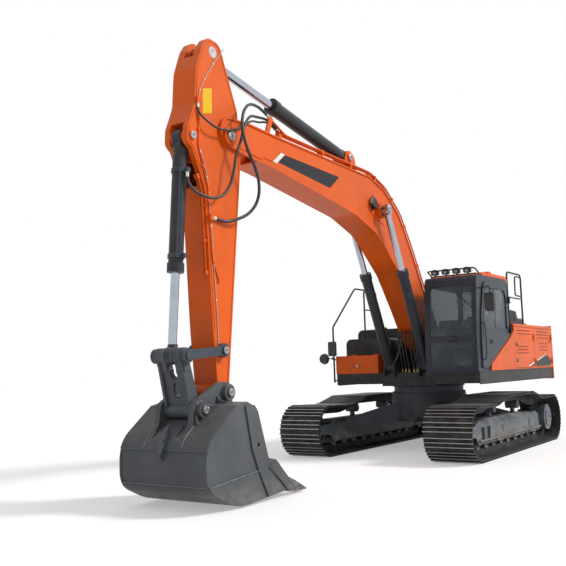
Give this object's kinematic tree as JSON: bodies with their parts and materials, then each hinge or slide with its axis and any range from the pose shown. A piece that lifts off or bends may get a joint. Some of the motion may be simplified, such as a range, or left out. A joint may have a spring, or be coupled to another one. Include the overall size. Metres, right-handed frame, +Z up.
{
  "type": "crawler excavator",
  "caption": "Crawler excavator with raised boom, hanging arm, toothed bucket, cab on the left, side doors and steel tracks.",
  "frame": {"origin": "on the ground, under the middle of the machine's bounding box", "axes": "+X ahead towards the bucket, +Y to the machine's left, +Z up"},
  "size_m": [10.8109, 3.6005, 5.6526],
  "materials": {
    "black_paint": "satin",
    "cab_paint": "satin",
    "chrome": "polished",
    "dark_plastic": "grained",
    "engine_iron": "matt",
    "frame_paint": "satin",
    "glass": "clear",
    "hose_rubber": "matt",
    "lamp": "clear lens",
    "mirror": "black back, glass face",
    "orange_paint": "satin",
    "seat_fabric": "woven",
    "slate_paint": "satin",
    "track_steel": "matt",
    "worn_steel": "matt"
  },
  "bodies": {
    "undercarriage": {"track_left": "track_steel", "track_right": "track_steel", "track_frame_left": "frame_paint", "track_frame_right": "frame_paint", "idlers": "frame_paint", "sprockets": "frame_paint", "rollers": "frame_paint", "carbody": "frame_paint", "slew_ring": "frame_paint"},
    "upper_works": {"main_frame": "black_paint", "counterweight": "orange_paint", "housing": "orange_paint", "engine_block": "engine_iron", "radiator": "black_paint", "air_intake": "black_paint", "tanks": "orange_paint", "tool_box": "orange_paint", "cab_shell": "cab_paint", "cab_roof": "orange_paint", "windscreen": "glass", "cab_glass": "glass", "cab_controls": "dark_plastic", "seat": "seat_fabric", "roof_lamps": "lamp", "roof_guard": "black_paint", "handrails": "black_paint", "left_mirror": "mirror", "right_mirrors": "mirror"},
    "hood": {"hood": "black_paint", "exhaust": "black_paint"},
    "rear_left_door": {"rear_left_door": "orange_paint"},
    "front_left_door": {"front_left_door": "orange_paint"},
    "right_door": {"right_door": "orange_paint"},
    "tool_box_lid": {"tool_box_lid": "orange_paint"},
    "cab_door": {"cab_door": "cab_paint", "door_glass": "glass"},
    "boom": {"boom": "orange_paint", "boom_pipes": "orange_paint", "boom_lamp": "black_paint", "elbow_hose_long": "hose_rubber", "elbow_hose_lower": "hose_rubber", "elbow_hose_short": "hose_rubber"},
    "boom_cylinder_left_barrel": {"boom_cylinder_left_barrel": "slate_paint"},
    "boom_cylinder_left_rod": {"boom_cylinder_left_rod": "chrome"},
    "boom_cylinder_right_barrel": {"boom_cylinder_right_barrel": "slate_paint"},
    "boom_cylinder_right_rod": {"boom_cylinder_right_rod": "chrome"},
    "arm_cylinder_barrel": {"arm_cylinder_barrel": "slate_paint"},
    "arm_cylinder_rod": {"arm_cylinder_rod": "chrome"},
    "arm": {"arm": "orange_paint", "arm_pipes": "orange_paint"},
    "bucket_cylinder_barrel": {"bucket_cylinder_barrel": "slate_paint", "bucket_cylinder_fittings": "slate_paint"},
    "bucket_cylinder_rod": {"bucket_cylinder_rod": "chrome"},
    "side_links": {"side_links": "slate_paint"},
    "bucket_link": {"bucket_link": "slate_paint"},
    "bucket": {"bucket": "slate_paint", "bucket_teeth": "worn_steel"}
  },
  "joints": [
    {"name": "slew", "type": "hinge", "parent": "undercarriage", "child": "upper_works", "pos_m": [-1.94206, 0, 1.03], "axis": [0, 0, 1], "continuous": true},
    {"name": "boom_raise", "type": "hinge", "parent": "upper_works", "child": "boom", "pos_m": [-1.72306, 0, 1.991], "axis": [0, -1, 0], "range_deg": [-68, 40]},
    {"name": "arm_swing", "type": "hinge", "parent": "boom", "child": "arm", "pos_m": [4.29543, 0, 4.45936], "axis": [0, 1, 0], "range_deg": [-75, 40], "deforming": ["elbow_hose_long", "elbow_hose_lower", "elbow_hose_short"]},
    {"name": "bucket_curl", "type": "hinge", "parent": "arm", "child": "bucket", "pos_m": [4.52906, 0, 1.27793], "axis": [0, 1, 0], "range_deg": [-70, 85]},
    {"name": "cab_door_hinge", "type": "hinge", "parent": "upper_works", "child": "cab_door", "pos_m": [-2.28306, 1.52, 2.4], "axis": [0, 0, 1], "range_deg": [0, 150]},
    {"name": "hood_hinge", "type": "hinge", "parent": "upper_works", "child": "hood", "pos_m": [-3.25906, 0, 2.253], "axis": [0, 1, 0], "range_deg": [0, 65]},
    {"name": "tool_box_lid_hinge", "type": "hinge", "parent": "upper_works", "child": "tool_box_lid", "pos_m": [-1.45706, -1, 1.748], "axis": [0, -1, 0], "range_deg": [0, 80]},
    {"name": "rear_left_door_hinge", "type": "hinge", "parent": "upper_works", "child": "rear_left_door", "pos_m": [-4.89806, 1.508, 1.804], "axis": [0, 0, 1], "range_deg": [0, 110]},
    {"name": "front_left_door_hinge", "type": "hinge", "parent": "upper_works", "child": "front_left_door", "pos_m": [-3.70806, 1.508, 1.804], "axis": [0, 0, 1], "range_deg": [0, 110]},
    {"name": "right_door_hinge", "type": "hinge", "parent": "upper_works", "child": "right_door", "pos_m": [-4.03806, -1.508, 1.804], "axis": [0, 0, -1], "range_deg": [0, 110]},
    {"name": "boom_cylinder_left_swing", "type": "hinge", "parent": "upper_works", "child": "boom_cylinder_left_barrel", "pos_m": [-1.09706, 0.356, 1.504], "axis": [0, -1, 0], "range_deg": [-69.96, 41.56]},
    {"name": "boom_cylinder_left_stroke", "type": "slide", "parent": "boom_cylinder_left_barrel", "child": "boom_cylinder_left_rod", "axis": [0.4534, 0, 0.8913], "range_m": [-0.814, 0.483]},
    {"name": "boom_cylinder_right_swing", "type": "hinge", "parent": "upper_works", "child": "boom_cylinder_right_barrel", "pos_m": [-1.09706, -0.356, 1.504], "axis": [0, -1, 0], "range_deg": [-69.96, 41.56]},
    {"name": "boom_cylinder_right_stroke", "type": "slide", "parent": "boom_cylinder_right_barrel", "child": "boom_cylinder_right_rod", "axis": [0.4534, 0, 0.8913], "range_m": [-0.814, 0.483]},
    {"name": "arm_cylinder_swing", "type": "hinge", "parent": "boom", "child": "arm_cylinder_barrel", "pos_m": [0.99243, 0, 4.89673], "axis": [0, 1, 0], "range_deg": [-3.15, 2.14]},
    {"name": "arm_cylinder_stroke", "type": "slide", "parent": "arm_cylinder_barrel", "child": "arm_cylinder_rod", "axis": [0.9864, 0, 0.1645], "range_m": [-1.21, 0.65]},
    {"name": "bucket_cylinder_swing", "type": "hinge", "parent": "arm", "child": "bucket_cylinder_barrel", "pos_m": [4.95871, 0, 4.32959], "axis": [0, 1, 0], "range_deg": [-2.49, 2.81]},
    {"name": "bucket_cylinder_stroke", "type": "slide", "parent": "bucket_cylinder_barrel", "child": "bucket_cylinder_rod", "axis": [0.0815, 0, -0.9967], "range_m": [-0.518, 0.627]},
    {"name": "side_links_swing", "type": "hinge", "parent": "arm", "child": "side_links", "pos_m": [4.5136, 0, 1.77513], "axis": [0, 1, 0], "range_deg": [-50.34, 60.92]},
    {"name": "bucket_link_swing", "type": "hinge", "parent": "bucket", "child": "bucket_link", "pos_m": [4.99834, 0, 1.09966], "axis": [0, 1, 0], "range_deg": [-62.38, 51.55]}
  ],
  "couplings": [
    {"joint": "boom_cylinder_left_swing", "follows": "boom_raise", "ratio": 1.0141},
    {"joint": "boom_cylinder_left_stroke", "follows": "boom_raise", "m_per_rad": 0.6775},
    {"joint": "boom_cylinder_right_swing", "follows": "boom_raise", "ratio": 1.0141},
    {"joint": "boom_cylinder_right_stroke", "follows": "boom_raise", "m_per_rad": 0.6775},
    {"joint": "arm_cylinder_swing", "follows": "arm_swing", "ratio": 0.0286},
    {"joint": "arm_cylinder_stroke", "follows": "arm_swing", "m_per_rad": 0.9168},
    {"joint": "bucket_cylinder_swing", "follows": "bucket_curl", "ratio": 0.0213},
    {"joint": "bucket_cylinder_stroke", "follows": "bucket_curl", "m_per_rad": 0.416},
    {"joint": "side_links_swing", "follows": "bucket_curl", "ratio": 0.7049},
    {"joint": "bucket_link_swing", "follows": "bucket_curl", "ratio": -0.7221}
  ]
}
